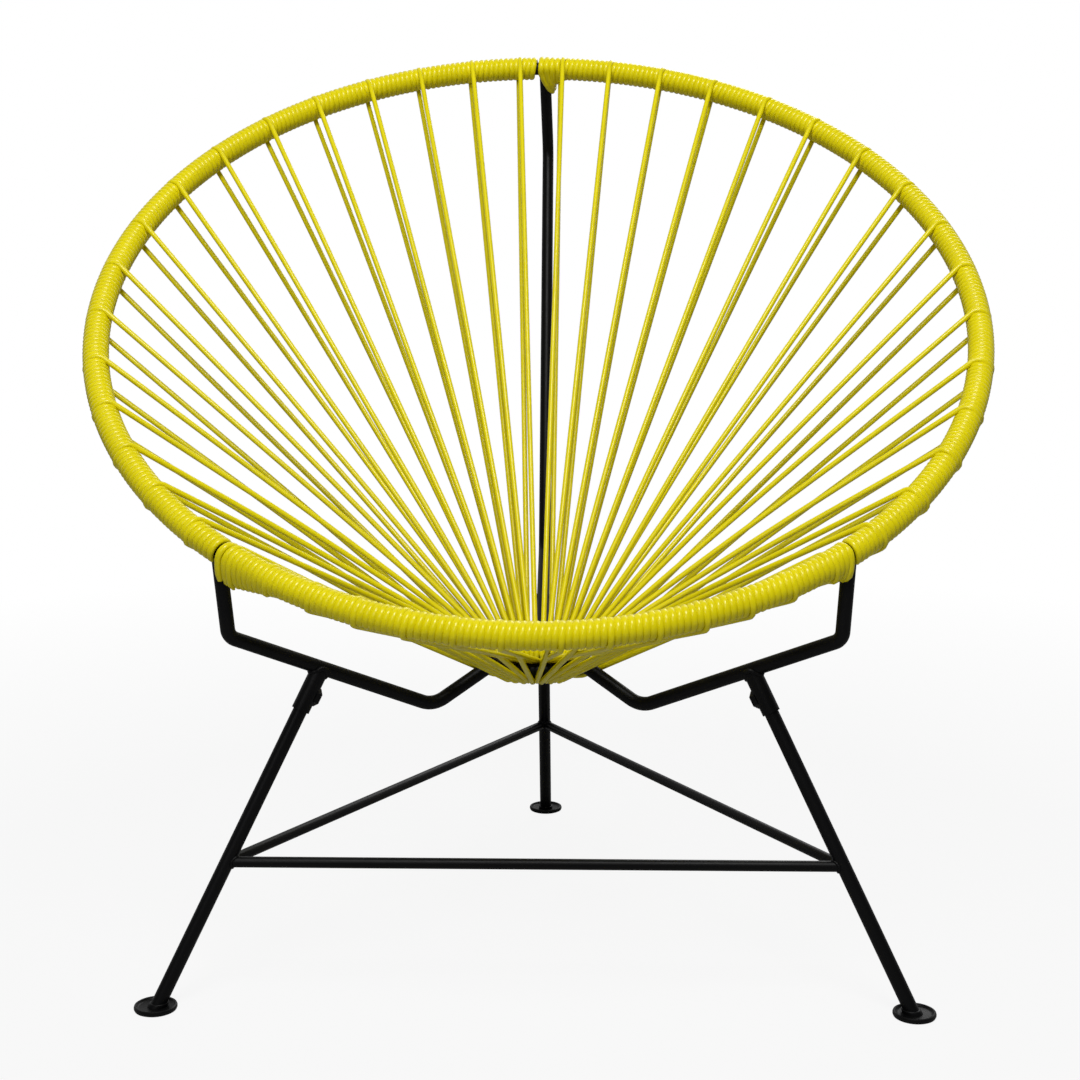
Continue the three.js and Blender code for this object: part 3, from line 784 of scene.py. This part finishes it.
blend = nodes.new("ShaderNodeMixShader")
out = nodes.new("ShaderNodeOutputMaterial")
links.new(place.outputs["Object"], far.inputs[0])
links.new(far.outputs["Value"], fade.inputs["Value"])
links.new(fade.outputs["Result"], seen.inputs[0])
links.new(path_info.outputs["Is Camera Ray"], seen.inputs[1])
links.new(seen.outputs["Value"], blend.inputs["Fac"])
links.new(matte.outputs["BSDF"], blend.inputs[1])
links.new(glow.outputs["Emission"], blend.inputs[2])
links.new(blend.outputs["Shader"], out.inputs["Surface"])
mesh.materials.append(paper)

world = bpy.data.worlds.new("studio")
bpy.context.scene.world = world
world.cycles.sampling_method = "NONE"  # the world is plain, so the lamps get every light ray
world.use_nodes = True
nodes, links = world.node_tree.nodes, world.node_tree.links
nodes.clear()
ambient = nodes.new("ShaderNodeBackground")
ambient.inputs["Strength"].default_value = 0.14
ambient.inputs["Color"].default_value = (1, 1, 1, 1)
white = nodes.new("ShaderNodeBackground")
white.inputs["Color"].default_value = (1, 1, 1, 1)
path_info = nodes.new("ShaderNodeLightPath")
heading = nodes.new("ShaderNodeTexCoord")
compass = nodes.new("ShaderNodeSeparateXYZ")
backdrop = nodes.new("ShaderNodeMapRange")
backdrop.inputs["From Min"].default_value = 0.1
backdrop.inputs["From Max"].default_value = 0.5
backdrop.inputs["To Max"].default_value = 0.55
mirrored = nodes.new("ShaderNodeMath")
mirrored.operation = "MULTIPLY"
either = nodes.new("ShaderNodeMath")
either.operation = "MAXIMUM"
any_ray = nodes.new("ShaderNodeMath")
any_ray.operation = "MAXIMUM"
blend = nodes.new("ShaderNodeMixShader")
out = nodes.new("ShaderNodeOutputWorld")
links.new(path_info.outputs["Is Camera Ray"], either.inputs[0])
links.new(path_info.outputs["Is Glossy Ray"], mirrored.inputs[0])
links.new(heading.outputs["Generated"], compass.inputs["Vector"])
links.new(compass.outputs["Y"], backdrop.inputs["Value"])
links.new(backdrop.outputs["Result"], mirrored.inputs[1])
links.new(mirrored.outputs["Value"], either.inputs[1])
links.new(either.outputs["Value"], any_ray.inputs[0])
links.new(path_info.outputs["Is Transmission Ray"], any_ray.inputs[1])
links.new(any_ray.outputs["Value"], blend.inputs["Fac"])
links.new(ambient.outputs["Background"], blend.inputs[1])
links.new(white.outputs["Background"], blend.inputs[2])
links.new(blend.outputs["Shader"], out.inputs["Surface"])

for name, place, aim, size, power in (
        ("overhead_lamp", (0.1, -1.5, 3.0), (0.0, -0.1, 0.4), 1.1, 72.0),
        ("rear_lamp", (0.9, 2.6, 2.2), (0.0, 0.0, 0.5), 1.6, 26.0),
        ("front_lamp", (-0.9, -2.6, 1.9), (0.0, 0.0, 0.45), 1.4, 17.0)):
    lamp = bpy.data.lights.new(name, "AREA")
    lamp.size = size
    lamp.energy = power
    stand = bpy.data.objects.new(name, lamp)
    stand.location = place
    stand.rotation_euler = (Vector(aim) - Vector(place)).to_track_quat("-Z", "Y").to_euler()
    bpy.context.scene.collection.objects.link(stand)

# Camera: in front of the chair, level with the middle of its back and tipped down a little,
# as in the photograph.
lens = bpy.data.cameras.new("photo_camera")
lens.lens = 60.0
lens.sensor_width = 36.0
camera = bpy.data.objects.new("photo_camera", lens)
camera.location = (0.03767, -1.77286, 0.6482)
camera.rotation_euler = (math.radians(80.69), 0.0, math.radians(1.26))
bpy.context.scene.collection.objects.link(camera)
bpy.context.scene.camera = camera
bpy.context.scene.view_settings.view_transform = "Standard"
